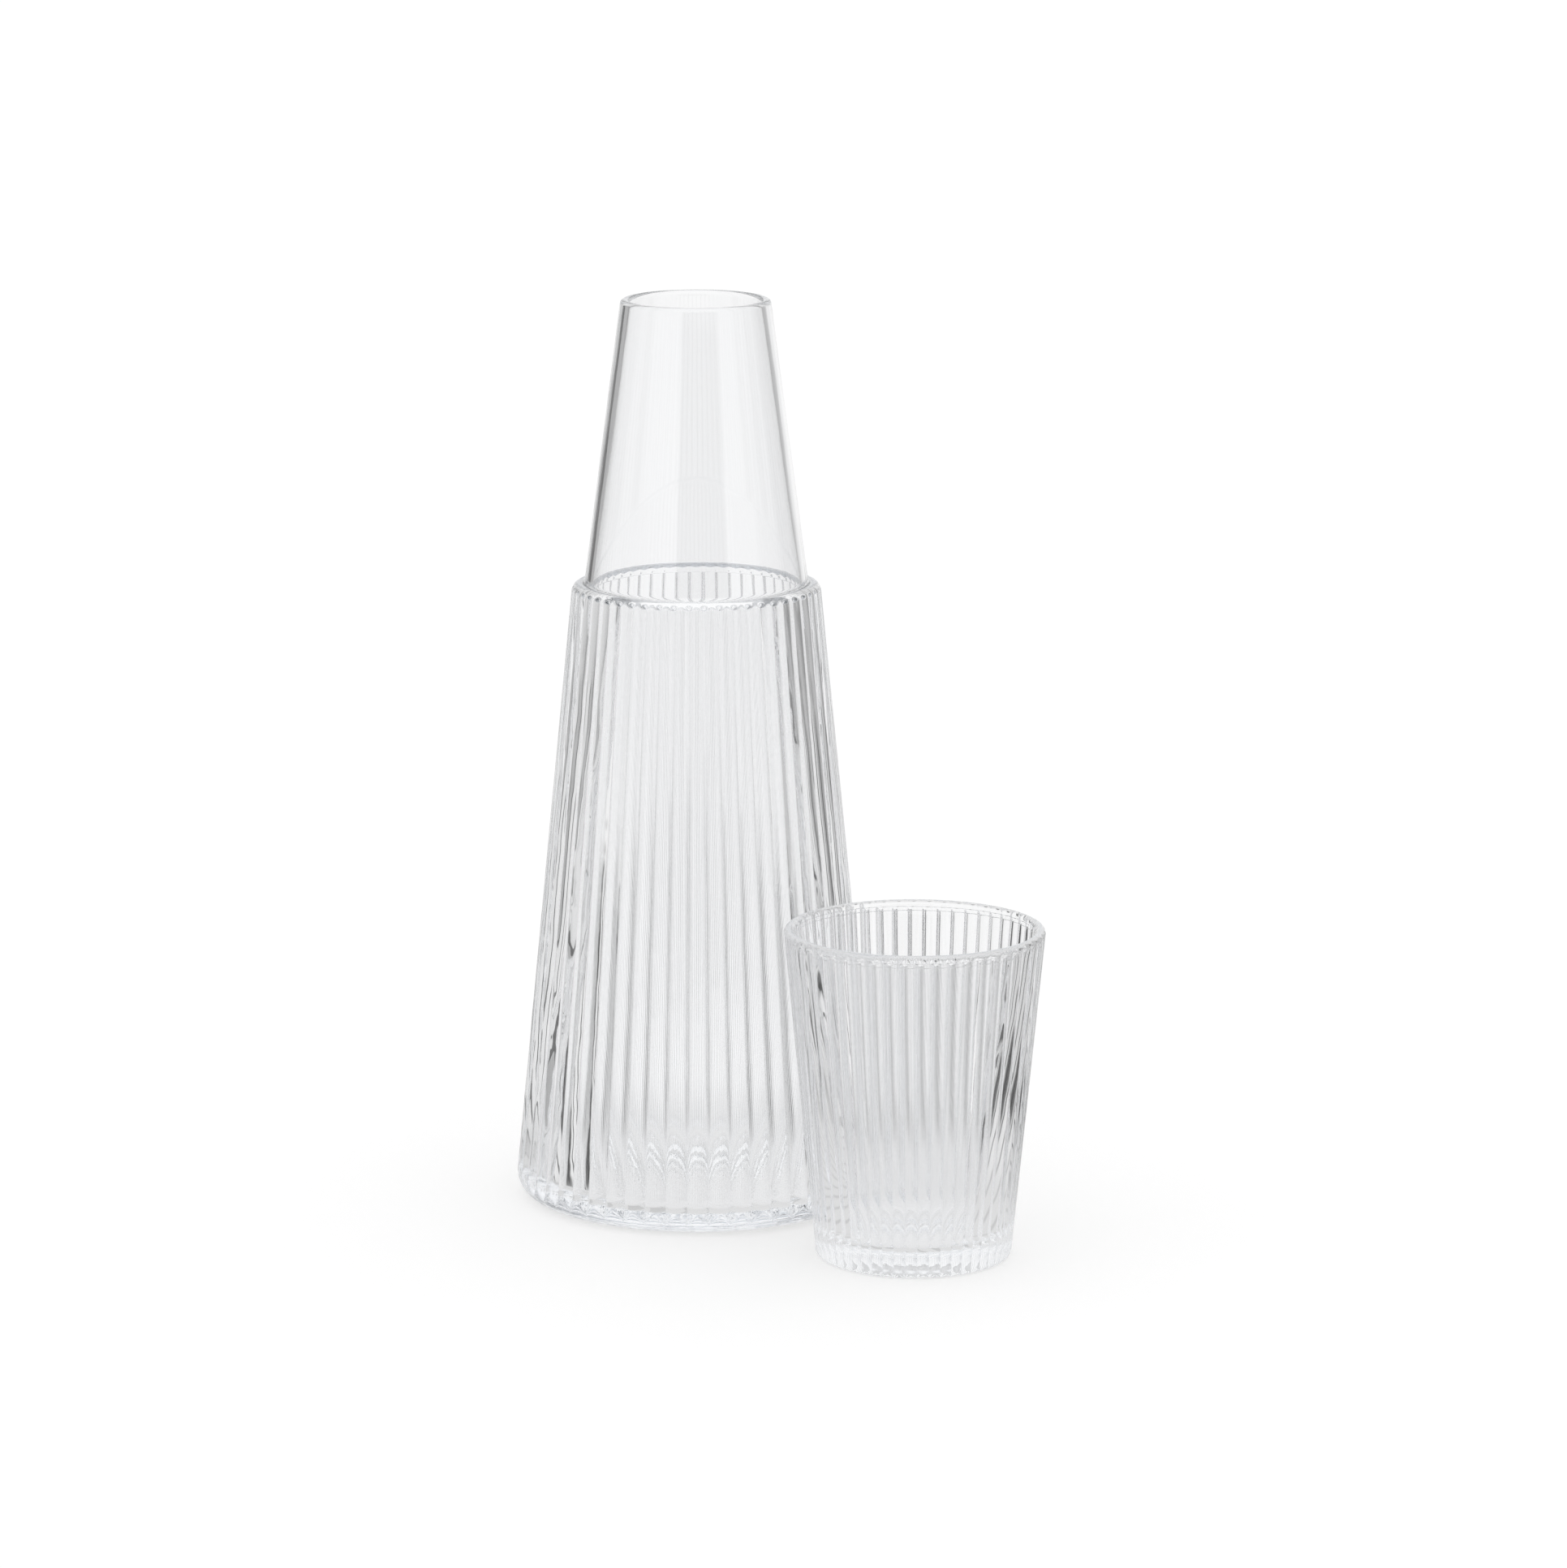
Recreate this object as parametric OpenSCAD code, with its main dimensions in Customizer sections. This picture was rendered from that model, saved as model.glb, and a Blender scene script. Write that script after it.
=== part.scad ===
// Bedside carafe with a tumbler that fits over its neck.
// Both are clear glass with straight reeds outside and a smooth wall inside.
// Millimetres, +Z up. The origin is the centre of the carafe's foot, on the table.
// The viewer in front looks along +Y and has +X on the right.

/* [Carafe body] */
// Height of the whole carafe
carafe_h = 250; // [225:1:280]
// Height of the reeded body, up to its shoulder
body_h = 172; // [150:1:190]
// Radius over the reeds where the body's wall would meet the table
body_foot_r = 50.9; // [46:0.1:58]
// Radius over the reeds where the body's wall would meet the shoulder's plane
body_top_r = 34; // [33.7:0.1:38]
// Thickness of the body's wall, measured over the reeds
body_wall = 3.2; // [2.8:0.1:3.6]
// Thickness of the glass in the shoulder
shoulder_t = 2.1; // [1.8:0.1:4]
// Thickness of the carafe's floor
floor_t = 5; // [4:0.1:12]
// Rounding of the body's lower edge
foot_round = 6.3; // [3:0.1:9]
// Rounding of the shoulder's outer edge
shoulder_round = 2.4; // [1.2:0.1:2.6]
// Rounding inside the carafe, between floor and wall
floor_round = 4; // [2:0.5:16]

/* [Carafe neck] */
// How far the neck stands in from the top of the body's wall, across the shoulder
shoulder_step = 3.3; // [3.1:0.1:8]
// Outer radius of the neck at the mouth
neck_mouth_r = 20.5; // [14:0.1:26]
// Thickness of the neck's wall at the mouth, which ends in a full round lip
neck_wall = 2.8; // [1.8:0.1:3.2]
// Thickness of the neck's wall at its foot, where blowing has thinned it
neck_foot_wall = 2.3; // [1.8:0.1:3]
// Hollow rounding outside, between neck and shoulder
neck_fillet = 1; // [0.4:0.1:1.1]
// Rounding of the edge inside, where the neck opens into the body
throat_round = 0.6; // [0.4:0.1:1.2]

/* [Tumbler] */
// Play between the foot of the neck and the mouth of the tumbler that is put over it
cap_clearance = 1.6; // [1.4:0.1:4]
// Height left above the mouth of the carafe when the tumbler is over the neck
cap_headroom = 5.5; // [1:0.5:30]
// Thickness of the tumbler's wall, measured over the reeds
tumbler_wall = 2.8; // [2.2:0.1:4]
// Thickness of the tumbler's floor
tumbler_floor_t = 6.5; // [3:0.1:12]
// Rounding of the tumbler's lower edge
tumbler_foot_round = 1.8; // [0.8:0.1:4]
// Rounding inside the tumbler, between floor and wall
tumbler_floor_round = 4; // [1:0.5:12]
// Height of the plain band that closes the reeds under the tumbler's lip
rim_band_h = 2.4; // [1.8:0.1:6]
// How far the reeds stand proud of that band
rim_band_step = 0.3; // [0.1:0.05:0.7]

/* [Reeds] */
// Number of reeds round each piece
reed_count = 52; // [40:1:64]
// Depth of the grooves between the reeds, at the foot of the carafe
body_reed_depth = 1.65; // [1:0.05:2.2]
// Depth of the grooves between the reeds, at the foot of the tumbler
tumbler_reed_depth = 0.85; // [0.5:0.05:1.2]

/* [Undersides] */
// Width of the flat ring that the carafe stands on, round a shallow hollow
foot_ring_w = 9; // [4:0.5:20]
// Depth of the hollow under the carafe
foot_hollow_h = 1.4; // [0.5:0.1:3]
// Width of the flat ring that the tumbler stands on, round a shallow hollow
tumbler_ring_w = 6.6; // [3:0.2:14]
// Depth of the hollow under the tumbler
tumbler_hollow_h = 1; // [0.4:0.1:2]

/* [Place of the tumbler] */
// Gap between the two leaning walls when the tumbler stands beside the carafe
stand_gap = 10.7; // [2:0.1:60]
// Direction from the carafe to the tumbler, in degrees from +X
stand_angle = -48.7; // [-180:0.1:180]
// Turn of the tumbler about its own axis, in degrees
tumbler_turn = 3.8; // [0:0.1:7]

/* [Hidden] */
$fn = 96;
// Sides of the very large circle whose cap is a foot's hollow
hollow_fn = 1440;
// Overrun of the solids and outlines that trim others
over = 1;
// Clearance that keeps a revolved wall off the crests of the reeds
crest_clearance = 0.05;
// The core inside a ring of reeds stops this share of the way out to the reeds' axes
core_share = 0.985;
glass = [0.91, 0.94, 0.95, 0.5];

neck_h = carafe_h - body_h;
neck_foot_r = body_top_r - shoulder_step;
neck_lean = lean_of(neck_foot_r, neck_mouth_r, neck_h);
neck_lip = neck_wall / 2;
neck_lip_c = upper_centre(neck_mouth_r, neck_lean, carafe_h, neck_lip);

body_lean = lean_of(body_foot_r, body_top_r, body_h);
foot_hollow_r = lower_centre(body_foot_r, body_lean, 0, foot_round).x - foot_ring_w;
cavity_top = body_h - shoulder_t;
// What the shoulder leaves for the rounding above the body's inner wall
cavity_round = min(throat_round, shoulder_round);
// The inner wall of the neck rises from the throat to the side of the lip
throat_r = neck_r(cavity_top) - across(neck_foot_wall, neck_lean);
throat_lean = lean_to_lip([throat_r, cavity_top], neck_lip_c, neck_lip);

// The tumbler leans as the body does, so that over the neck it carries on the same line
tumbler_h = neck_h + cap_headroom + tumbler_floor_t;
tumbler_mouth_r = neck_foot_r + cap_clearance + tumbler_wall;
tumbler_foot_r = tumbler_mouth_r - tumbler_h * tan(body_lean);
tumbler_lean = -body_lean;
tumbler_hollow_r = lower_centre(tumbler_foot_r, tumbler_lean, 0, tumbler_foot_round).x
    - tumbler_ring_w;
tumbler_lip = tumbler_wall / 2;
tumbler_lip_c = upper_centre(tumbler_mouth_r, tumbler_lean, tumbler_h, tumbler_lip);
tumbler_place = body_foot_r + tumbler_foot_r + stand_gap;

// Degrees by which a wall leans inwards as it rises
function lean_of(low_r, high_r, h) = atan((low_r - high_r) / h);

// Lean of a straight wall that rises from a point and just touches the inside of a round lip
function lean_to_lip(from, lip_c, lip) =
    atan((from.x - lip_c.x) / (lip_c.y - from.y)) + asin(lip / norm(lip_c - from));

// Horizontal thickness of a leaning wall
function across(wall, lean) = wall / cos(lean);

// Unit vector square to a leaning wall, pointing out of it
function out_of(lean) = [cos(lean), sin(lean)];

// Centre of the rounding between a wall and a floor: r is the wall's radius at the floor
function lower_centre(r, lean, z, round) =
    [r - tan(lean) * round - across(round, lean), z + round];

// Centre of the rounding between a wall and a ceiling: r is the wall's radius there
function upper_centre(r, lean, z, round) =
    [r + tan(lean) * round - across(round, lean), z - round];

// Radius of the body over its reeds, and of the neck, at a height
function body_r(z) = body_foot_r - tan(body_lean) * z;
function neck_r(z) = neck_foot_r - tan(neck_lean) * (z - body_h);

// Half of a solid's section: a leaning side with both its corners rounded
module rounded_side(low_r, high_r, low_z, high_z, low_round, high_round) {
    lean = lean_of(low_r, high_r, high_z - low_z);
    low_c = lower_centre(low_r, lean, low_z, low_round);
    high_c = upper_centre(high_r, lean, high_z, high_round);
    polygon([
        [0, low_z], [low_c.x, low_z], low_c + low_round * out_of(lean),
        high_c + high_round * out_of(lean), [high_c.x, high_z], [0, high_z]
    ]);
    translate(low_c) circle(r = low_round);
    translate(high_c) circle(r = high_round);
}

// Outline that fills the corner between a plane at z and a wall that rises from it at r
module corner_fill(r, lean, z, round) {
    c = [r - tan(lean) * round + across(round, lean), z + round];
    side = c - round * out_of(lean);
    difference() {
        polygon([[r - over, z - over], [c.x, z - over], c, side, [side.x - over, side.y]]);
        translate(c) circle(r = round);
    }
}

// Outline of the space inside a mouth, up to the middle of its round lip and out at the top
module mouth_space(low_r, low_z, lip_c, lean, lip) {
    polygon([
        [0, low_z], [low_r, low_z], lip_c - lip * out_of(lean), lip_c,
        [lip_c.x, lip_c.y + lip + over], [0, lip_c.y + lip + over]
    ]);
}

// Section of the shallow domed hollow under a foot
module foot_hollow(r, h) {
    dome_r = (r * r + h * h) / (2 * h);
    intersection() {
        translate([0, h - dome_r]) circle(r = dome_r, $fn = hollow_fn);
        translate([0, -over]) square([r + over, h + over + over]);
    }
}

// A solid cone with reeds round it, which meet in sharp grooves of the depth at its foot
module reeded_cone(foot_r, top_r, h, depth) {
    half_pitch = 180 / reed_count;
    groove_share = 1 - depth / foot_r;
    axis_share = (1 - groove_share * groove_share)
        / (2 * (1 - groove_share * cos(half_pitch)));
    reed_share = 1 - axis_share;
    slope = (top_r - foot_r) / h;
    low_r = foot_r - slope * over;
    high_r = top_r + slope * over;
    rise = h + over + over;
    lean = atan(axis_share * (low_r - high_r) / rise);
    translate([0, 0, -over])
        cylinder(h = rise, r1 = core_share * axis_share * low_r,
                 r2 = core_share * axis_share * high_r);
    for (i = [0 : reed_count - 1])
        rotate([0, 0, 360 * i / reed_count])
            translate([axis_share * low_r, 0, -over])
                rotate([0, -lean, 0])
                    cylinder(h = across(rise, lean), r1 = reed_share * low_r,
                             r2 = reed_share * high_r);
}

// Section of the carafe's glass, with its wall a little proud of the reeds' crests
module carafe_section() {
    difference() {
        union() {
            rounded_side(body_foot_r + crest_clearance, body_top_r + crest_clearance,
                         0, body_h, foot_round, shoulder_round);
            polygon([
                [0, cavity_top], [neck_r(cavity_top), cavity_top],
                neck_lip_c + neck_lip * out_of(neck_lean), neck_lip_c, [0, neck_lip_c.y]
            ]);
            corner_fill(neck_foot_r, neck_lean, body_h, neck_fillet);
        }
        rounded_side(body_r(floor_t) - across(body_wall, body_lean),
                     body_r(cavity_top) - across(body_wall, body_lean),
                     floor_t, cavity_top, floor_round, cavity_round);
        mouth_space(throat_r, cavity_top, neck_lip_c, throat_lean, neck_lip);
        corner_fill(throat_r, throat_lean, cavity_top, throat_round);
        foot_hollow(foot_hollow_r, foot_hollow_h);
    }
    translate(neck_lip_c) circle(r = neck_lip);
}

// Section of the tumbler's glass, with its wall a little proud of the reeds' crests
module tumbler_section() {
    inner_foot_r = tumbler_foot_r - tumbler_floor_t * tan(tumbler_lean)
        - across(tumbler_wall, tumbler_lean);
    inner_c = lower_centre(inner_foot_r, tumbler_lean, tumbler_floor_t, tumbler_floor_round);
    inner_side = inner_c + tumbler_floor_round * out_of(tumbler_lean);
    difference() {
        rounded_side(tumbler_foot_r + crest_clearance, tumbler_mouth_r + crest_clearance,
                     0, tumbler_h, tumbler_foot_round, tumbler_lip);
        polygon([
            [0, tumbler_floor_t], [inner_c.x, tumbler_floor_t], inner_side, [0, inner_side.y]
        ]);
        translate(inner_c) circle(r = tumbler_floor_round);
        mouth_space(inner_side.x, inner_side.y, tumbler_lip_c, tumbler_lean, tumbler_lip);
        foot_hollow(tumbler_hollow_r, tumbler_hollow_h);
    }
    translate(tumbler_lip_c) circle(r = tumbler_lip);
}

module carafe() {
    color(glass)
    intersection() {
        rotate_extrude() carafe_section();
        union() {
            reeded_cone(body_foot_r, body_top_r, body_h, body_reed_depth);
            translate([0, 0, cavity_top])
                cylinder(h = neck_h + shoulder_t + over, r = neck_foot_r + neck_fillet);
        }
    }
}

module tumbler() {
    slope = tan(tumbler_lean);
    band_r = tumbler_mouth_r - rim_band_step;
    color(glass)
    rotate([0, 0, stand_angle]) translate([tumbler_place, 0, 0])
    rotate([0, 0, tumbler_turn - stand_angle])
    intersection() {
        rotate_extrude() tumbler_section();
        union() {
            reeded_cone(tumbler_foot_r, tumbler_mouth_r, tumbler_h, tumbler_reed_depth);
            translate([0, 0, tumbler_h - rim_band_h])
                cylinder(h = rim_band_h + over, r1 = band_r + slope * rim_band_h,
                         r2 = band_r - slope * over);
        }
    }
}

carafe();
tumbler();
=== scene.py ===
import math

import bpy
import numpy as np
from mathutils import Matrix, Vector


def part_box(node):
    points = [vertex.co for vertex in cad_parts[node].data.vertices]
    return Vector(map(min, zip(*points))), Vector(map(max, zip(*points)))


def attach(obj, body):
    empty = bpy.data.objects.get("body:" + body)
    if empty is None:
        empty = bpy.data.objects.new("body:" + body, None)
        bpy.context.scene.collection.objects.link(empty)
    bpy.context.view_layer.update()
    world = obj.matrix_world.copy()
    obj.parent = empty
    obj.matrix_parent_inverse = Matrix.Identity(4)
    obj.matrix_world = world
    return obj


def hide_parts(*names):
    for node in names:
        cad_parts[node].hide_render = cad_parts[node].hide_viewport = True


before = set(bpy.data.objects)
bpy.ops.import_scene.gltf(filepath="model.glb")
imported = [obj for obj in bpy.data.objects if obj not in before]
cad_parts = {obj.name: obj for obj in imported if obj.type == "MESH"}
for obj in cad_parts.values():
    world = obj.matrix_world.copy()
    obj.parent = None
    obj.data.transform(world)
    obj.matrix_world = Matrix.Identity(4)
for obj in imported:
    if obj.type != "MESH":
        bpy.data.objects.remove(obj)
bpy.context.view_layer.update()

MM = 0.001
RIGHT_ANGLE = math.pi / 2
WHITE = (1.0, 1.0, 1.0, 1.0)

# Camera: fitted to the outlines of both pieces in the photograph
CAMERA_BACK = 1.7667
CAMERA_HEIGHT = 0.4833
CAMERA_PITCH = math.radians(11.764)
CAMERA_YAW = math.radians(0.774)
CAMERA_REACH = 100.0
FOCAL_PIXELS = 8064.5
PHOTO_LONG_SIDE = 1932
SENSOR = 36.0

# Carafe, in metres: the body leans in, the neck leans in more
CARAFE_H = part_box("carafe")[1][2]
BODY_H = 172 * MM
BODY_FOOT_R = 50.9 * MM
BODY_TOP_R = 34 * MM
BODY_WALL = 3.2 * MM
SHOULDER_T = 2.1 * MM
FLOOR_T = 5 * MM
FOOT_ROUND = 6.3 * MM
SHOULDER_ROUND = 2.4 * MM
FLOOR_ROUND = 4 * MM
NECK_FOOT_R = 30.7 * MM
NECK_MOUTH_R = 20.5 * MM
NECK_WALL = 2.8 * MM
NECK_FOOT_WALL = 2.3 * MM
NECK_FILLET = 1 * MM
THROAT_ROUND = 0.6 * MM
FOOT_RING_W = 9 * MM
HOLLOW_H = 1.4 * MM
BODY_REED_DEPTH = 1.65 * MM

# Tumbler: it leans out as much as the body leans in
TUMBLER_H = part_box("tumbler")[1][2]
TUMBLER_MOUTH_R = 35.1 * MM
TUMBLER_WALL = 2.8 * MM
TUMBLER_FLOOR_T = 6.5 * MM
TUMBLER_FOOT_ROUND = 1.8 * MM
TUMBLER_FLOOR_ROUND = 4 * MM
RIM_BAND_H = 2.4 * MM
RIM_BAND_STEP = 0.3 * MM
RIM_BAND_BLEND = 0.9 * MM
TUMBLER_RING_W = 6.6 * MM
TUMBLER_HOLLOW_H = 1 * MM
TUMBLER_REED_DEPTH = 0.85 * MM
TUMBLER_TURN = math.radians(3.8)

# Reeds, the same number on both pieces. SOFT_EDGE is how widely the end of a groove is blended
REEDS = 52
COLUMNS_PER_REED = 12
NO_LIMIT = 1.0
SOFT_EDGE = 0.12 * MM

# Where grooves fade on a rounding. The carafe's are gone on the lowest part of its foot, up to
# FOOT_BARE of the rounding, and full again FOOT_FADE of it further on. On a shoulder or lip
# they fade from its start, and a speed of 2 ends them half way
FOOT_BARE = 0.45
FOOT_FADE = 0.5
SHOULDER_FADE_SPEED = 2.0
LIP_FADE_SPEED = 2.4

# Slow ripple that blowing and pressing leave on the inside, a little drawn out upwards. The
# walls have all of it, other stretches a share
RIPPLE_SIZE = 22 * MM
RIPPLE_DRAWN = (1.0, 1.0, 0.7)
WALL_RIPPLE = 1.0
NECK_RIPPLE = 0.3
CEILING_RIPPLE = 0.5
BEND_RIPPLE = 0.8
FLOOR_RIPPLE = 0.6

# A straight stretch of a section gets a row this near to each end, or a quarter of the way in
# if it is short
HELD = 0.2 * MM
HELD_SHARE = 0.25
# Two points of a section nearer than this are one, and a point this near to the axis is on it
SAME_POINT = 1e-6
MERGE_DISTANCE = 2e-6
# What a row of a section holds besides its point and its direction out of the glass
ROW_VALUES = ("depth", "limit", "gap", "ripple")

DOWNWARD = np.array([0.0, -1.0])
UPWARD = np.array([0.0, 1.0])


def lean_of(low_r, high_r, height):
    """Angle by which a wall leans inwards as it rises."""
    return math.atan((low_r - high_r) / height)


BODY_LEAN = lean_of(BODY_FOOT_R, BODY_TOP_R, BODY_H)
NECK_LEAN = lean_of(NECK_FOOT_R, NECK_MOUTH_R, CARAFE_H - BODY_H)
TUMBLER_FOOT_R = TUMBLER_MOUTH_R - TUMBLER_H * math.tan(BODY_LEAN)


def out_of(angle):
    """Direction in the section, by its angle above the outward one."""
    return np.array([math.cos(angle), math.sin(angle)])


def lean_to_lip(start, lip_c, lip):
    """Lean of a wall that rises from a point and just touches the inside of a round lip."""
    across, up = start[0] - lip_c[0], lip_c[1] - start[1]
    return math.atan(across / up) + math.asin(lip / math.hypot(across, up))


def lower_centre(r, lean, z, radius):
    """Centre of the rounding between a leaning wall and a floor at z."""
    return np.array([r - math.tan(lean) * radius - radius / math.cos(lean), z + radius])


def upper_centre(r, lean, z, radius):
    """Centre of the rounding between a leaning wall and a ceiling at z."""
    return np.array([r + math.tan(lean) * radius - radius / math.cos(lean), z - radius])


class Section:
    """Half section of a glass vessel: from under the foot, up the outside and down the inside.

    Each row is a point, the direction out of the glass, the depth of the grooves there,
    the most that a groove may be cut, how far the section has turned in from the reeds'
    crests, and the share of the ripple that it has.
    """

    def __init__(self):
        self.points, self.sides = [], []
        self.values = {label: [] for label in ROW_VALUES}

    def row(self, point, side, depth=0.0, limit=NO_LIMIT, gap=0.0, ripple=0.0):
        if self.points and np.hypot(*(self.points[-1] - point)) < SAME_POINT:
            return
        self.points.append(np.array(point, float))
        self.sides.append(np.array(side, float))
        for label, value in zip(ROW_VALUES, (depth, limit, gap, ripple)):
            self.values[label].append(value)

    def arc(self, centre, radius, start, end, steps, hollow=False, cut=None, ripple=0.0):
        """A round stretch. On a hollow one the glass lies outside the circle."""
        for i in range(steps + 1):
            share = i / steps
            ray = out_of(start + (end - start) * share)
            point = centre + radius * ray
            reeds = cut(point, share) if cut else ()
            self.row(point, -ray if hollow else ray, *reeds, ripple=ripple)

    def line(self, end, side, steps, cut=None, ripple=0.0):
        """A straight stretch from the last point, held straight by a row close to each end."""
        start = self.points[-1]
        close = min(HELD_SHARE, HELD / np.hypot(*(end - start)))
        for share in [close] + [i / steps for i in range(1, steps)] + [1 - close, 1]:
            point = start + (end - start) * share
            reeds = cut(point, share) if cut else ()
            self.row(point, side, *reeds, ripple=ripple)

    def foot_hollow(self, r, h, steps):
        """The shallow dome under a foot, out to the flat ring round it."""
        dome_r = (r * r + h * h) / (2 * h)
        dome_c = np.array([0.0, h - dome_r])
        self.arc(dome_c, dome_r, RIGHT_ANGLE, RIGHT_ANGLE - math.asin(r / dome_r), steps,
                 hollow=True)


def fading(share):
    """From 1 to 0 with a soft start and a soft end."""
    return 0.5 + 0.5 * math.cos(math.pi * min(max(share, 0.0), 1.0))


def wall_cut(depth_share, limit=NO_LIMIT, fade_speed=0.0):
    """Grooves whose depth is a share of the radius, and which can fade along the stretch."""
    def cut(point, share):
        return depth_share * point[0] * fading(share * fade_speed), limit
    return cut


def foot_cut(foot_r, lean, depth_share, bare=0.0):
    """Grooves on a rounded foot: they run out where the foot has turned in past them.

    With a bare share, they are gone on that much of the rounding and then fade in.
    """
    def cut(point, share):
        wall_r = foot_r - math.tan(lean) * point[1]
        kept = 1 - fading((share - bare) / FOOT_FADE) if bare else 1.0
        return depth_share * wall_r * kept, NO_LIMIT, wall_r - point[0]
    return cut


def carafe_section():
    """Foot, reeded body, shoulder, plain neck and lip, then the inside down to its floor."""
    section = Section()
    depth_share = BODY_REED_DEPTH / BODY_FOOT_R
    wall_side = out_of(BODY_LEAN)

    # Underside, foot, reeded body and shoulder
    foot_c = lower_centre(BODY_FOOT_R, BODY_LEAN, 0, FOOT_ROUND)
    shoulder_c = upper_centre(BODY_TOP_R, BODY_LEAN, BODY_H, SHOULDER_ROUND)
    section.foot_hollow(foot_c[0] - FOOT_RING_W, HOLLOW_H, steps=6)
    section.line(np.array([foot_c[0], 0.0]), DOWNWARD, steps=1)
    section.arc(foot_c, FOOT_ROUND, -RIGHT_ANGLE, BODY_LEAN, steps=18,
                cut=foot_cut(BODY_FOOT_R, BODY_LEAN, depth_share, FOOT_BARE))
    section.line(shoulder_c + SHOULDER_ROUND * wall_side, wall_side, steps=8, cut=wall_cut(depth_share))
    section.arc(shoulder_c, SHOULDER_ROUND, BODY_LEAN, RIGHT_ANGLE, steps=14,
                cut=wall_cut(depth_share, fade_speed=SHOULDER_FADE_SPEED))

    # Outside of the neck
    fillet_c = np.array([
        NECK_FOOT_R - math.tan(NECK_LEAN) * NECK_FILLET + NECK_FILLET / math.cos(NECK_LEAN),
        BODY_H + NECK_FILLET,
    ])
    neck_side = out_of(NECK_LEAN)
    lip = NECK_WALL / 2
    lip_c = upper_centre(NECK_MOUTH_R, NECK_LEAN, CARAFE_H, lip)
    section.line(np.array([fillet_c[0], BODY_H]), UPWARD, steps=1)
    section.arc(fillet_c, NECK_FILLET, 3 * RIGHT_ANGLE, math.pi + NECK_LEAN, steps=6, hollow=True)
    section.line(lip_c + lip * neck_side, neck_side, steps=5)

    # Lip, inside of the neck and throat
    cavity_top = BODY_H - SHOULDER_T
    throat_r = (NECK_FOOT_R + math.tan(NECK_LEAN) * SHOULDER_T
                - NECK_FOOT_WALL / math.cos(NECK_LEAN))
    throat_lean = lean_to_lip((throat_r, cavity_top), lip_c, lip)
    throat_side = out_of(throat_lean)
    throat_c = np.array([
        throat_r - math.tan(throat_lean) * THROAT_ROUND + THROAT_ROUND / math.cos(throat_lean),
        cavity_top + THROAT_ROUND,
    ])
    section.arc(lip_c, lip, NECK_LEAN, math.pi + throat_lean, steps=18)
    section.line(throat_c - THROAT_ROUND * throat_side, -throat_side, steps=9, ripple=NECK_RIPPLE)
    section.arc(throat_c, THROAT_ROUND, math.pi + throat_lean, 3 * RIGHT_ANGLE, steps=8,
                ripple=NECK_RIPPLE)

    # Inside of the body
    inner_foot_r = (BODY_FOOT_R - math.tan(BODY_LEAN) * FLOOR_T
                    - BODY_WALL / math.cos(BODY_LEAN))
    inner_top_r = (BODY_FOOT_R - math.tan(BODY_LEAN) * cavity_top
                   - BODY_WALL / math.cos(BODY_LEAN))
    ceiling_c = upper_centre(inner_top_r, BODY_LEAN, cavity_top, THROAT_ROUND)
    floor_c = lower_centre(inner_foot_r, BODY_LEAN, FLOOR_T, FLOOR_ROUND)
    section.line(np.array([ceiling_c[0], cavity_top]), DOWNWARD, steps=1, ripple=CEILING_RIPPLE)
    section.arc(ceiling_c, THROAT_ROUND, RIGHT_ANGLE, BODY_LEAN, steps=6, hollow=True,
                ripple=BEND_RIPPLE)
    section.line(floor_c + FLOOR_ROUND * wall_side, -wall_side, steps=24, ripple=WALL_RIPPLE)
    section.arc(floor_c, FLOOR_ROUND, BODY_LEAN, -RIGHT_ANGLE, steps=14, hollow=True,
                ripple=WALL_RIPPLE)
    section.line(np.array([0.0, FLOOR_T]), UPWARD, steps=3, ripple=FLOOR_RIPPLE)
    return section


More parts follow.
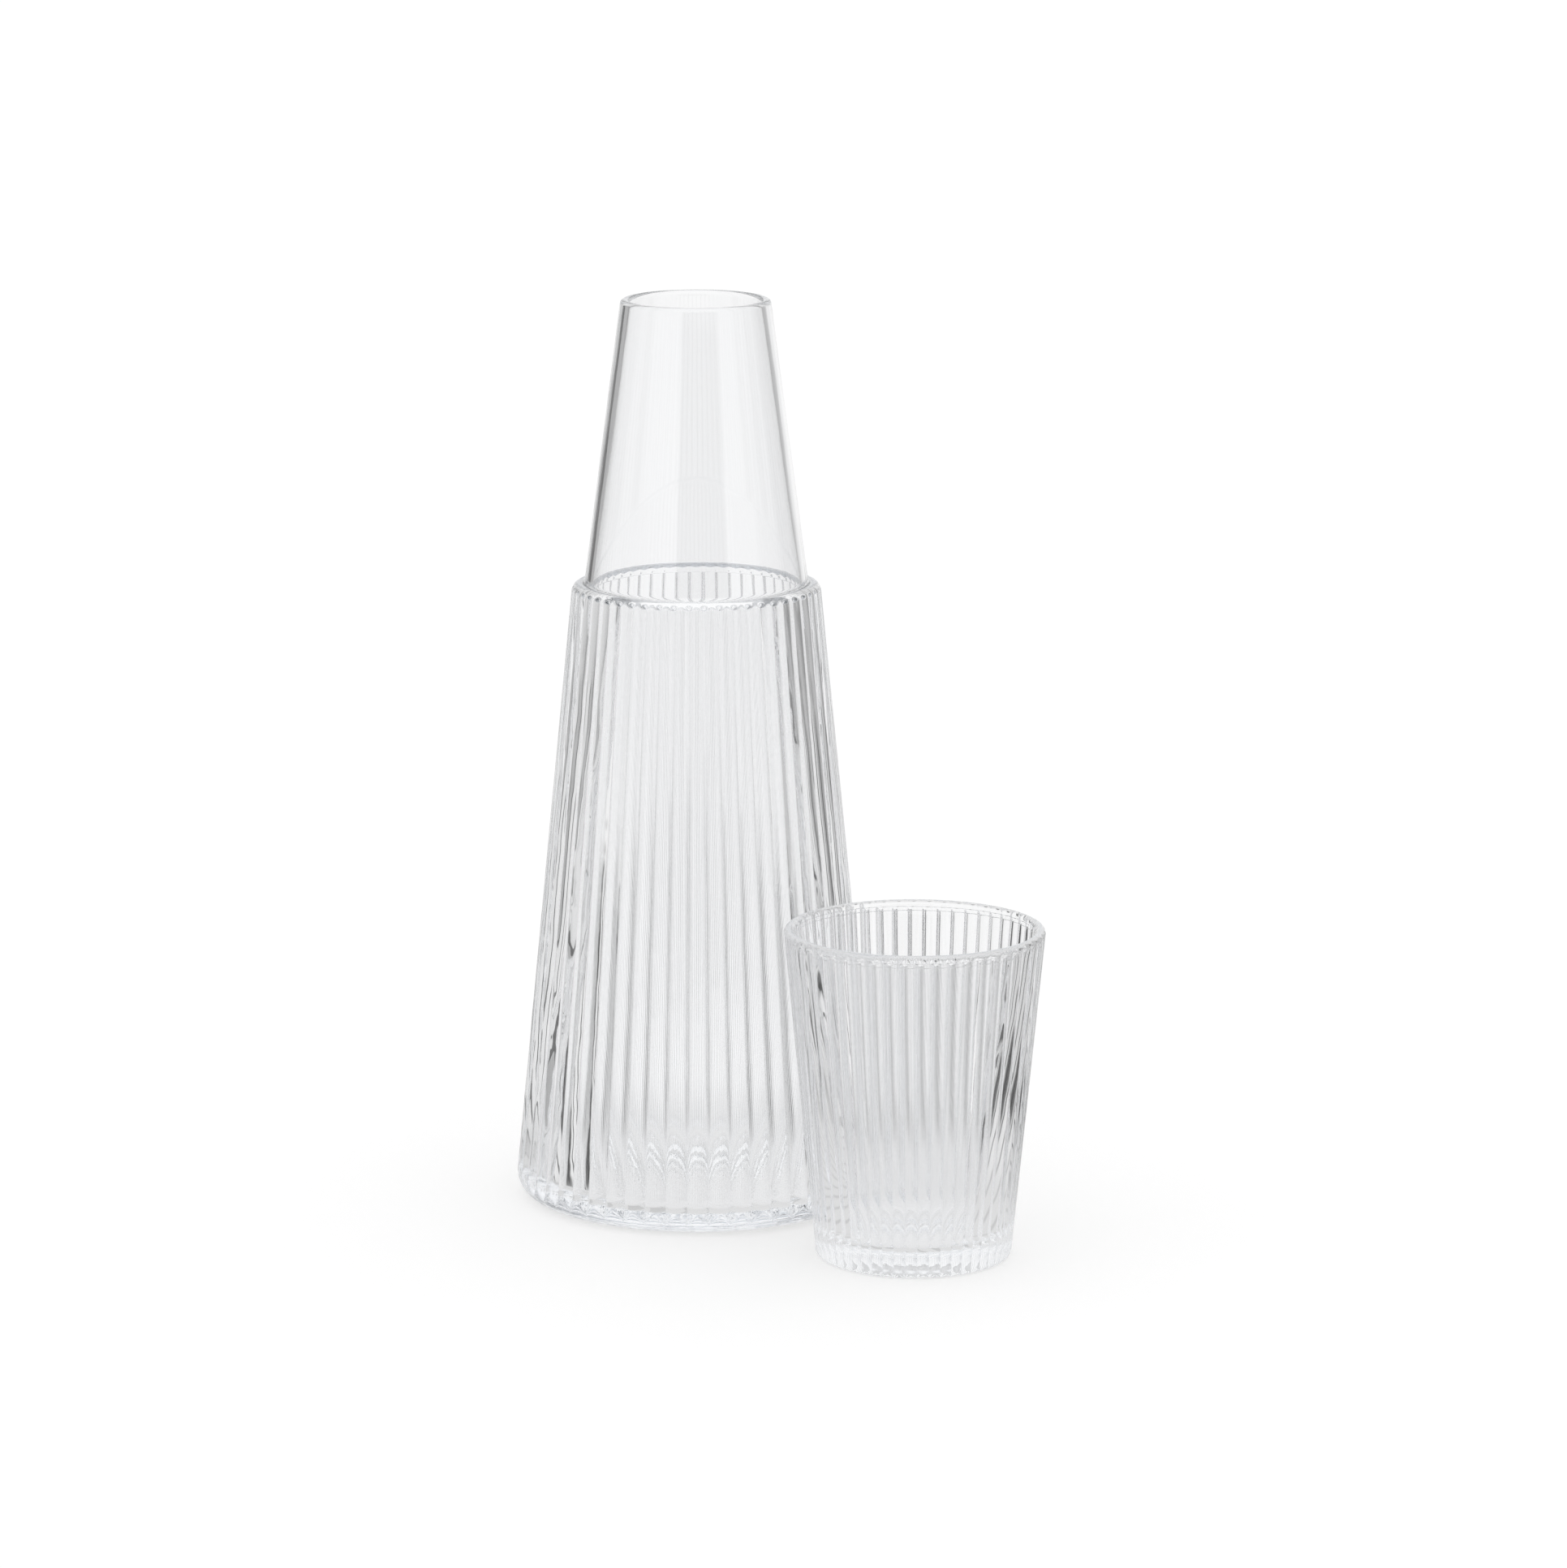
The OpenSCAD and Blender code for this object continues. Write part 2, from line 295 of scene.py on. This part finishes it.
def tumbler_section():
    """Foot, reeded wall, plain band and lip, then the inside down to its floor."""
    section = Section()
    depth_share = TUMBLER_REED_DEPTH / TUMBLER_FOOT_R
    lean = -BODY_LEAN
    wall_side = out_of(lean)
    lip = TUMBLER_WALL / 2
    lip_c = upper_centre(TUMBLER_MOUTH_R, lean, TUMBLER_H, lip)
    foot_c = lower_centre(TUMBLER_FOOT_R, lean, 0, TUMBLER_FOOT_ROUND)
    band_z = TUMBLER_H - RIM_BAND_H

    def wall_at(z):
        return np.array([TUMBLER_FOOT_R - math.tan(lean) * z, z])

    def into_band(point, share):
        depth = depth_share * point[0]
        return depth, RIM_BAND_STEP + (depth - RIM_BAND_STEP) * fading(share) + SOFT_EDGE

    # Underside, foot and reeded wall, up into the band and the lip
    section.foot_hollow(foot_c[0] - TUMBLER_RING_W, TUMBLER_HOLLOW_H, steps=6)
    section.line(np.array([foot_c[0], 0.0]), DOWNWARD, steps=1)
    section.arc(foot_c, TUMBLER_FOOT_ROUND, -RIGHT_ANGLE, lean, steps=14,
                cut=foot_cut(TUMBLER_FOOT_R, lean, depth_share))
    section.line(wall_at(band_z - RIM_BAND_BLEND), wall_side, steps=8, cut=wall_cut(depth_share))
    section.line(wall_at(band_z + RIM_BAND_BLEND * 0.5), wall_side, steps=14, cut=into_band)
    section.line(lip_c + lip * wall_side, wall_side, steps=1, cut=wall_cut(depth_share, RIM_BAND_STEP))
    section.arc(lip_c, lip, lean, math.pi + lean, steps=20,
                cut=wall_cut(depth_share, RIM_BAND_STEP, LIP_FADE_SPEED))

    # Inside
    inner_foot_r = (TUMBLER_FOOT_R - math.tan(lean) * TUMBLER_FLOOR_T
                    - TUMBLER_WALL / math.cos(lean))
    floor_c = lower_centre(inner_foot_r, lean, TUMBLER_FLOOR_T, TUMBLER_FLOOR_ROUND)
    section.line(floor_c + TUMBLER_FLOOR_ROUND * wall_side, -wall_side, steps=24, ripple=WALL_RIPPLE)
    section.arc(floor_c, TUMBLER_FLOOR_ROUND, lean, -RIGHT_ANGLE, steps=12, hollow=True,
                ripple=WALL_RIPPLE)
    section.line(np.array([0.0, TUMBLER_FLOOR_T]), UPWARD, steps=6, ripple=FLOOR_RIPPLE)
    return section


def section_mesh(name, section):
    """The section as a chain of points in the XZ plane, with what the reeds need on each."""
    count = len(section.points)
    mesh = bpy.data.meshes.new(name)
    corners = [(r, 0.0, z) for r, z in section.points]
    mesh.from_pydata(corners, [(i, i + 1) for i in range(count - 1)], [])
    side = mesh.attributes.new("side", "FLOAT_VECTOR", "POINT")
    side.data.foreach_set("vector", np.array([(r, 0.0, z) for r, z in section.sides]).ravel())
    for label, values in section.values.items():
        mesh.attributes.new(label, "FLOAT", "POINT").data.foreach_set("value", values)
    return mesh


def put_in_scene(name, data):
    thing = bpy.data.objects.new(name, data)
    bpy.context.scene.collection.objects.link(thing)
    return thing


class Tree:
    """Short hand for building a node tree: every call adds a node and gives its output."""

    def __init__(self, tree):
        self.nodes, self.links = tree.nodes, tree.links

    def add(self, kind, inputs=(), output=0, **settings):
        node = self.nodes.new(kind)
        for key, value in settings.items():
            setattr(node, key, value)
        for key, value in dict(inputs).items():
            self.join(value, node.inputs[key])
        return node.outputs[output]

    def join(self, value, socket):
        if isinstance(value, bpy.types.NodeSocket):
            self.links.new(value, socket)
        else:
            socket.default_value = value

    def math(self, operation, *values):
        return self.add("ShaderNodeMath", enumerate(values), operation=operation)


def emptied_tree(owner):
    """Node tree of a material or a world, with nothing in it."""
    owner.use_nodes = True
    owner.node_tree.nodes.clear()
    return Tree(owner.node_tree)


def reeded_vessel_tree():
    """Turns a section round the Z axis and cuts reeds into it, where the section says so."""
    group = bpy.data.node_groups.new("reeded_vessel", "GeometryNodeTree")
    face = group.interface
    face.new_socket("Geometry", in_out="INPUT", socket_type="NodeSocketGeometry")
    inputs = {
        "Reeds": "Int", "Columns per reed": "Int", "Axis share": "Float", "Reed share": "Float",
        "Groove share": "Float", "Turn": "Float", "Soft edge": "Float", "Ripple height": "Float",
        "Ripple size": "Float", "Ripple seed": "Float", "Stand": "Vector", "Glass": "Material",
    }
    for label, kind in inputs.items():
        face.new_socket(label, in_out="INPUT", socket_type="NodeSocket" + kind)
    face.new_socket("Geometry", in_out="OUTPUT", socket_type="NodeSocketGeometry")

    t = Tree(group)
    given = t.nodes.new("NodeGroupInput").outputs
    result = t.nodes.new("NodeGroupOutput").inputs

    # A sheet with a row for each point of the section and a column for each angle
    rows = t.add("GeometryNodeAttributeDomainSize", {0: given["Geometry"]})
    columns = t.math("MULTIPLY", given["Reeds"], given["Columns per reed"])
    across = t.math("ADD", columns, 1.0)
    sheet = t.add("GeometryNodeMeshGrid", {"Vertices X": rows, "Vertices Y": across})
    index = t.add("GeometryNodeInputIndex")
    row = t.math("FLOOR", t.math("DIVIDE", t.math("ADD", index, 0.5), across))
    column = t.math("SUBTRACT", index, t.math("MULTIPLY", row, across))

    def sampled(value, data_type):
        return t.add("GeometryNodeSampleIndex",
                     {"Geometry": given["Geometry"], "Value": value, "Index": row},
                     data_type=data_type)

    def stored(label, data_type):
        attribute = t.add("GeometryNodeInputNamedAttribute", {"Name": label}, data_type=data_type)
        return sampled(attribute, data_type)

    place = sampled(t.add("GeometryNodeInputPosition"), "FLOAT_VECTOR")
    side = stored("side", "FLOAT_VECTOR")
    depth, limit, gap, ripple = (stored(label, "FLOAT") for label in ROW_VALUES)

    # Angle of each column: closer together towards the grooves
    half_pitch = t.math("DIVIDE", math.pi, given["Reeds"])
    reed = t.math("FLOOR", t.math("DIVIDE", t.math("ADD", column, 0.5),
                                  given["Columns per reed"]))
    first = t.math("MULTIPLY", reed, given["Columns per reed"])
    step = t.math("DIVIDE", t.math("SUBTRACT", column, first), given["Columns per reed"])
    from_crest = t.math("SUBTRACT", t.math("MULTIPLY", step, 2.0), 1.0)
    swing = t.math("SINE", t.math("MULTIPLY", from_crest, RIGHT_ANGLE))
    off_crest = t.math("MULTIPLY", swing, half_pitch)
    angle = t.math("ADD", t.math("ADD", off_crest, given["Turn"]),
                   t.math("MULTIPLY", reed, t.math("MULTIPLY", half_pitch, 2.0)))

    # Round section of one reed, as a share of the crest's radius
    cosine, sine = t.math("COSINE", off_crest), t.math("SINE", off_crest)
    along = t.math("MULTIPLY", given["Axis share"], cosine)
    across_axis = t.math("MULTIPLY", given["Axis share"], sine)
    inside = t.math("SUBTRACT", t.math("MULTIPLY", given["Reed share"], given["Reed share"]),
                    t.math("MULTIPLY", across_axis, across_axis))
    reach = t.math("ADD", along, t.math("SQRT", t.math("MAXIMUM", inside, 0.0)))
    dip = t.math("DIVIDE", t.math("SUBTRACT", 1.0, reach),
                 t.math("SUBTRACT", 1.0, given["Groove share"]))

    # How far each point is cut back: not at all where the foot has turned in past the groove
    groove = t.math("SUBTRACT", t.math("MULTIPLY", dip, depth), gap)
    turned_in = t.math("GREATER_THAN", gap, 0.0)
    softened = t.math("SMOOTH_MAX", groove, 0.0, given["Soft edge"])
    kept = t.add("GeometryNodeSwitch", {"Switch": turned_in, "False": groove,
                                        "True": softened}, input_type="FLOAT")
    cut = t.math("SMOOTH_MIN", kept, limit, given["Soft edge"])

    # Ripple, from noise at the place that the point has before it is cut
    parts = t.add("ShaderNodeSeparateXYZ", {0: place}).node.outputs
    turned = t.add("ShaderNodeCombineXYZ", {
        0: t.math("MULTIPLY", parts[0], t.math("COSINE", angle)),
        1: t.math("MULTIPLY", parts[0], t.math("SINE", angle)),
        2: parts[2],
    })
    seed = t.add("ShaderNodeCombineXYZ", {0: given["Ripple seed"], 1: 0.0, 2: 0.0})
    drawn = t.add("ShaderNodeVectorMath", {0: turned, 1: RIPPLE_DRAWN}, operation="MULTIPLY")
    shifted = t.add("ShaderNodeVectorMath", {0: drawn, 1: seed}, operation="ADD")
    noise = t.add("ShaderNodeTexNoise", {
        "Vector": shifted, "Scale": t.math("DIVIDE", 1.0, given["Ripple size"]), "Detail": 1.0,
    })
    swell = t.math("MULTIPLY", t.math("MULTIPLY", t.math("SUBTRACT", noise, 0.5), ripple),
                   given["Ripple height"])
    inward = t.math("ADD", cut, swell)

    # Place of each point, then one closed mesh
    sides = t.add("ShaderNodeSeparateXYZ", {0: side}).node.outputs
    radius = t.math("SUBTRACT", parts[0], t.math("MULTIPLY", sides[0], inward))
    radius = t.math("MULTIPLY", radius, t.math("GREATER_THAN", parts[0], SAME_POINT))
    height = t.math("SUBTRACT", parts[2], t.math("MULTIPLY", sides[2], inward))
    moved = t.add("ShaderNodeCombineXYZ", {
        0: t.math("MULTIPLY", radius, t.math("COSINE", angle)),
        1: t.math("MULTIPLY", radius, t.math("SINE", angle)),
        2: height,
    })
    stood = t.add("ShaderNodeVectorMath", {0: moved, 1: given["Stand"]}, operation="ADD")
    shell = t.add("GeometryNodeSetPosition", {"Geometry": sheet, "Position": stood})
    closed = t.add("GeometryNodeMergeByDistance", {"Geometry": shell, "Distance": MERGE_DISTANCE})
    outward = t.add("GeometryNodeFlipFaces", {"Mesh": closed})
    smooth = t.add("GeometryNodeSetShadeSmooth", {"Geometry": outward})
    real = t.add("GeometryNodeRealizeInstances", {"Geometry": smooth})
    dressed = t.add("GeometryNodeSetMaterial", {"Geometry": real, "Material": given["Glass"]})
    t.join(dressed, result[0])
    return group


def reed_shares(depth, foot_r):
    """Radius of a reed's axis, of the reed itself and of the groove, as shares of the crest's."""
    half_pitch = math.pi / REEDS
    groove = 1 - depth / foot_r
    axis = (1 - groove * groove) / (2 * (1 - groove * math.cos(half_pitch)))
    return {"Axis share": axis, "Reed share": 1 - axis, "Groove share": groove}


def turned_vessel(name, section, tree, glass, shares, turn, stand, ripple, seed):
    """One vessel: its section turned and reeded by the tree, kept as a plain closed mesh."""
    blank = put_in_scene(name + "_section", section_mesh(name + "_section", section))
    values = {
        "Reeds": REEDS, "Columns per reed": COLUMNS_PER_REED, "Turn": turn,
        "Soft edge": SOFT_EDGE, "Ripple height": ripple, "Ripple size": RIPPLE_SIZE,
        "Ripple seed": seed, "Stand": stand, "Glass": glass, **shares,
    }
    modifier = blank.modifiers.new("reeds", "NODES")
    modifier.node_group = tree
    for item in tree.interface.items_tree:
        if item.in_out == "INPUT" and item.name in values:
            modifier[item.identifier] = values[item.name]
    graph = bpy.context.evaluated_depsgraph_get()
    mesh = bpy.data.meshes.new_from_object(blank.evaluated_get(graph))
    blank.modifiers.remove(modifier)
    bpy.data.objects.remove(blank)
    mesh.name = name
    for label in ("side",) + ROW_VALUES:
        if label in mesh.attributes:
            mesh.attributes.remove(mesh.attributes[label])
    return put_in_scene(name, mesh)


def mixed(t, share, first, second):
    """The first colour at a share of 0 and the second at 1."""
    return t.add("ShaderNodeMix", {"Factor": share, 6: first, 7: second}, output=2,
                 data_type="RGBA")


def softly(t, value, low, high):
    """0 below low, 1 above high, and a soft step between them."""
    return t.add("ShaderNodeMapRange", {"Value": value, "From Min": low, "From Max": high},
                 interpolation_type="SMOOTHSTEP")


def grey(value):
    return (value, value, value, 1.0)


# Glass of both pieces: its refraction, the colour that it takes on where it is thick, and the
# paler tint that clouds each piece's own
GLASS_IOR = 1.5
DEEP_COLOUR = (0.88, 0.91, 0.95, 1.0)
DEEP_DENSITY = 4.0
PALE_TINT = (0.995, 0.997, 0.999, 1.0)
# Its unevenness is drawn out upwards: clouds in the tint, smears of roughness and the waves
# that a mould leaves, which are calmer by CALM where the wall never touched it
GLASS_DRAWN = (1.0, 1.0, 0.35)
CLOUD_SCALE = 60.0
SMEAR_SCALE = 170.0
SMEAR_FROM, SMEAR_FULL = 0.35, 0.75
WAVE_SIZE = 5 * MM
CALM = 0.85
CALM_BLEND = 4 * MM


def clear_glass(name, tint, wave_height, roughness, plain_from):
    """Clear glass: a faint uneven tint, a little body colour, and the waves that a mould leaves.

    Above plain_from the wall never touched the mould, so it is nearly free of waves.
    """
    material = bpy.data.materials.new(name)
    t = emptied_tree(material)
    place = t.add("ShaderNodeTexCoord", output="Object")
    drawn = t.add("ShaderNodeMapping", {"Vector": place, "Scale": GLASS_DRAWN})
    cloud = t.add("ShaderNodeTexNoise", {"Vector": drawn, "Scale": CLOUD_SCALE, "Detail": 2.0})
    colour = mixed(t, cloud, tint, PALE_TINT)
    smear = t.add("ShaderNodeTexNoise", {"Vector": drawn, "Scale": SMEAR_SCALE, "Detail": 3.0})
    rough = t.add("ShaderNodeMapRange", {"Value": smear, "From Min": SMEAR_FROM,
                                         "From Max": SMEAR_FULL, "To Min": 0.0,
                                         "To Max": roughness})
    wave = t.add("ShaderNodeTexNoise", {"Vector": drawn, "Scale": 1 / WAVE_SIZE, "Detail": 1.5})
    up = t.add("ShaderNodeSeparateXYZ", {0: place}, output=2)
    calm = t.math("MULTIPLY", softly(t, up, plain_from, plain_from + CALM_BLEND), CALM)
    bump = t.add("ShaderNodeBump", {"Height": wave, "Distance": wave_height,
                                    "Strength": t.math("SUBTRACT", 1.0, calm)})
    shader = t.add("ShaderNodeBsdfPrincipled", {
        "Base Color": colour, "Roughness": rough, "IOR": GLASS_IOR, "Transmission Weight": 1.0,
        "Normal": bump,
    })
    volume = t.add("ShaderNodeVolumeAbsorption", {"Color": DEEP_COLOUR, "Density": DEEP_DENSITY})
    out = t.nodes.new("ShaderNodeOutputMaterial")
    t.join(shader, out.inputs["Surface"])
    t.join(volume, out.inputs["Volume"])
    return material


def make_camera():
    camera = put_in_scene("camera", bpy.data.cameras.new("camera"))
    camera.data.sensor_width = SENSOR
    camera.data.lens = FOCAL_PIXELS * SENSOR / PHOTO_LONG_SIDE
    camera.data.clip_end = CAMERA_REACH
    camera.location = (0.0, -CAMERA_BACK, CAMERA_HEIGHT)
    camera.rotation_euler = (RIGHT_ANGLE - CAMERA_PITCH, 0.0, -CAMERA_YAW)
    bpy.context.scene.camera = camera


# What the glass sees of the studio: bearing from +Y in degrees, and grey.
# VEILS is what it lets through, WALLS what it mirrors, and CARDS the boards on the table
# that it mirrors low down.
VEILS = (
    (-180, 0.82), (-100, 0.90), (-75, 0.88), (-66, 0.55), (-60, 0.50), (-58, 0.02), (-50, 0.02),
    (-47, 0.95), (-30, 0.98), (30, 0.97), (42, 0.92), (47, 0.80), (50, 0.02), (59, 0.02),
    (62, 0.55), (74, 0.80), (100, 0.88), (180, 0.82),
)
WALLS = (
    (-180, 0.00), (-160, 0.00), (-157, 1.00), (-80, 0.90), (-70, 0.70), (-54, 0.55), (-50, 0.32),
    (-46, 0.32), (-42, 0.50), (-33, 0.50), (-31, 0.03), (-24, 0.03), (-19, 0.60), (-8, 0.95),
    (10, 1.00), (30, 0.90), (36, 0.50), (42, 0.45), (60, 0.50), (66, 0.28), (72, 0.28), (78, 0.55),
    (106, 0.60), (109, 1.00), (145, 1.00), (148, 0.00), (180, 0.00),
)
CARDS = (
    (-180, 0.95), (-111, 0.85), (-107, 0.12), (-101, 0.12), (-99, 0.85), (-83, 0.80), (-81, 0.15),
    (-77, 0.15), (-75, 0.80), (-60, 0.75), (-57, 0.42), (-52, 0.42), (-50, 0.75), (-22, 0.90),
    (-8, 0.98), (12, 1.00), (30, 0.90), (48, 0.80), (51, 0.35), (58, 0.35), (61, 0.65),
    (87, 0.65), (89, 0.10), (96, 0.10), (98, 0.70), (111, 0.95), (145, 0.98), (180, 0.95),
)
# Narrow dark slots in the boards on the table, which the reeds draw out to fine lines: SLOTS of
# them all round, each where a sine of the bearing is above SLOT_FROM
SLOTS = 48
SLOT_FROM, SLOT_FULL = 0.70, 0.85
SLOT_DEPTH = 0.8
SLOT_GREY = 0.02
# Paper round each foot, of one grey seen through the glass and another, with a trace of the
# boards, mirrored in it. It gives way between PAPER_R and twice that
PAPER_R = 0.07
PAPER_SEEN = 0.79
PAPER_MIRRORED = 0.68
CARDS_ON_PAPER = 0.2
# Far out, where only the shoulder and the neck let it through, the sweep has no dark boards
VEILS_R, VEILS_END = 0.5, 0.8
FAR_VEIL = 0.955
# From this distance to twice that, the boards on the table give way to the walls
WALLS_R = 0.9
# The walls fade into the white ceiling between these upward parts of the line of sight
WALLS_LOW, WALLS_HIGH = 0.15, 0.35
# The table lies just under the feet. It is lit by the sky and glows as much as it takes to be
# white in the picture, so that only the shadow shows
FLOOR_REACH = 40.0
FLOOR_Z = -0.1 * MM
FLOOR_GREY = 0.42
FLOOR_GLOW = 0.64
SKY_GREY = 0.93


def seen_in_glass(t):
    """1 for a ray that last went through or off the glass."""
    path = t.add("ShaderNodeLightPath").node.outputs
    return t.math("MAXIMUM", path["Is Glossy Ray"], path["Is Transmission Ray"])


def seen_by_eye(t):
    """1 where a camera, glossy or transmission ray looks, and 0 for the light on the floor."""
    path = t.add("ShaderNodeLightPath").node.outputs
    return t.math("MAXIMUM", path["Is Camera Ray"], seen_in_glass(t))


def mirrored(t):
    """1 for a ray that has been mirrored, in the glass or on it."""
    return t.math("GREATER_THAN", t.add("ShaderNodeLightPath").node.outputs["Glossy Depth"], 0.5)


def bearing_of(t, parts):
    """Angle from +Y towards +X of the direction whose X and Y parts are given."""
    return t.math("ARCTAN2", parts[0], parts[1])


def boards(t, parts, stops):
    """Grey of a ring of boards in the direction whose X and Y parts are given."""
    bearing = bearing_of(t, parts)
    ramp = t.nodes.new("ShaderNodeValToRGB")
    t.join(t.math("ADD", t.math("DIVIDE", bearing, 2 * math.pi), 0.5), ramp.inputs[0])
    band = ramp.color_ramp
    while len(band.elements) < len(stops):
        band.elements.new(0.5)
    for element, (degrees, shade) in zip(band.elements, stops):
        element.position = degrees / 360 + 0.5
        element.color = grey(shade)
    return ramp.outputs[0]


def slotted(t, parts, view):
    """The boards with SLOTS dark slots, evenly spaced by bearing."""
    swing = t.math("SINE", t.math("MULTIPLY", bearing_of(t, parts), float(SLOTS)))
    slot = t.math("MULTIPLY", softly(t, swing, SLOT_FROM, SLOT_FULL), SLOT_DEPTH)
    return mixed(t, slot, view, grey(SLOT_GREY))


def make_floor(tumbler_stand):
    """A pale table that keeps the soft shadow. The glass sees paper and boards there instead."""
    mesh = bpy.data.meshes.new("floor")
    corners = [(x * FLOOR_REACH, y * FLOOR_REACH, FLOOR_Z)
               for x, y in ((-1, -1), (1, -1), (1, 1), (-1, 1))]
    mesh.from_pydata(corners, [], [(0, 1, 2, 3)])
    floor = put_in_scene("floor", mesh)
    material = bpy.data.materials.new("pale_floor")
    t = emptied_tree(material)
    matt = t.add("ShaderNodeBsdfDiffuse", {"Color": grey(FLOOR_GREY)})
    glow = t.add("ShaderNodeEmission", {
        "Color": WHITE, "Strength": t.math("MULTIPLY", seen_by_eye(t), FLOOR_GLOW)})
    table = t.add("ShaderNodeAddShader", {0: matt, 1: glow})

    place = t.add("ShaderNodeTexCoord", output="Object")
    parts = t.add("ShaderNodeSeparateXYZ", {0: place}).node.outputs
    away = t.add("ShaderNodeVectorMath", {0: place}, output=1, operation="LENGTH")
    cards = slotted(t, parts, boards(t, parts, CARDS))
    ring = mixed(t, softly(t, away, WALLS_R, 2 * WALLS_R), cards, boards(t, parts, WALLS))
    sweep = mixed(t, softly(t, away, VEILS_R, VEILS_END), boards(t, parts, VEILS),
                  grey(FAR_VEIL))
    far = mixed(t, mirrored(t), sweep, ring)
    near = mixed(t, mirrored(t), grey(PAPER_SEEN),
                 mixed(t, CARDS_ON_PAPER, grey(PAPER_MIRRORED), cards))
    beside = t.add("ShaderNodeVectorMath", {0: place, 1: tumbler_stand}, output=1,
                   operation="DISTANCE")
    off_paper = softly(t, t.math("MINIMUM", away, beside), PAPER_R, 2 * PAPER_R)
    view = mixed(t, off_paper, near, far)
    board = t.add("ShaderNodeEmission", {"Color": view, "Strength": 1.0})
    either = t.add("ShaderNodeMixShader", {0: seen_in_glass(t), 1: table, 2: board})
    out = t.nodes.new("ShaderNodeOutputMaterial")
    t.join(either, out.inputs["Surface"])
    mesh.materials.append(material)


def make_studio():
    """A white sweep all round, which the glass sees as rings of boards under a white ceiling."""
    world = bpy.data.worlds.new("studio")
    bpy.context.scene.world = world
    t = emptied_tree(world)
    way = t.add("ShaderNodeTexCoord", output="Generated")
    parts = t.add("ShaderNodeSeparateXYZ", {0: way}).node.outputs
    ring = mixed(t, mirrored(t), boards(t, parts, VEILS), boards(t, parts, WALLS))
    studio = mixed(t, softly(t, parts[2], WALLS_LOW, WALLS_HIGH), ring, WHITE)
    view = mixed(t, seen_in_glass(t), WHITE, studio)
    colour = mixed(t, seen_by_eye(t), grey(SKY_GREY), view)
    sky = t.add("ShaderNodeBackground", {"Color": colour, "Strength": 1.0})
    out = t.nodes.new("ShaderNodeOutputWorld")
    t.join(sky, out.inputs["Surface"])


def settings():
    """Plain colours, and enough bounces for rays that cross many walls of glass."""
    scene = bpy.context.scene
    scene.view_settings.view_transform = "Standard"
    scene.cycles.max_bounces = 64
    scene.cycles.transmission_bounces = 48
    scene.cycles.glossy_bounces = 48


tumbler_low, tumbler_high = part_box("tumbler")
tumbler_stand = ((tumbler_low[0] + tumbler_high[0]) / 2, (tumbler_low[1] + tumbler_high[1]) / 2, 0.0)

make_camera()
make_studio()
make_floor(tumbler_stand)
settings()

carafe_glass = clear_glass("carafe_glass", tint=(0.983, 0.985, 0.992, 1.0),
                           wave_height=0.12 * MM, roughness=0.01,
                           plain_from=BODY_H - CALM_BLEND)
tumbler_glass = clear_glass("tumbler_glass", tint=(0.979, 0.981, 0.988, 1.0),
                            wave_height=0.08 * MM, roughness=0.015,
                            plain_from=TUMBLER_H)
vessel_tree = reeded_vessel_tree()
carafe = turned_vessel("carafe_blown", carafe_section(), vessel_tree, carafe_glass,
                       shares=reed_shares(BODY_REED_DEPTH, BODY_FOOT_R), turn=0.0,
                       stand=(0.0, 0.0, 0.0), ripple=0.4 * MM, seed=3.0)
tumbler = turned_vessel("tumbler_pressed", tumbler_section(), vessel_tree, tumbler_glass,
                        shares=reed_shares(TUMBLER_REED_DEPTH, TUMBLER_FOOT_R),
                        turn=TUMBLER_TURN, stand=tumbler_stand, ripple=0.25 * MM, seed=11.0)

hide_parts("carafe")
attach(carafe, "carafe")
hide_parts("tumbler")
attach(tumbler, "tumbler")
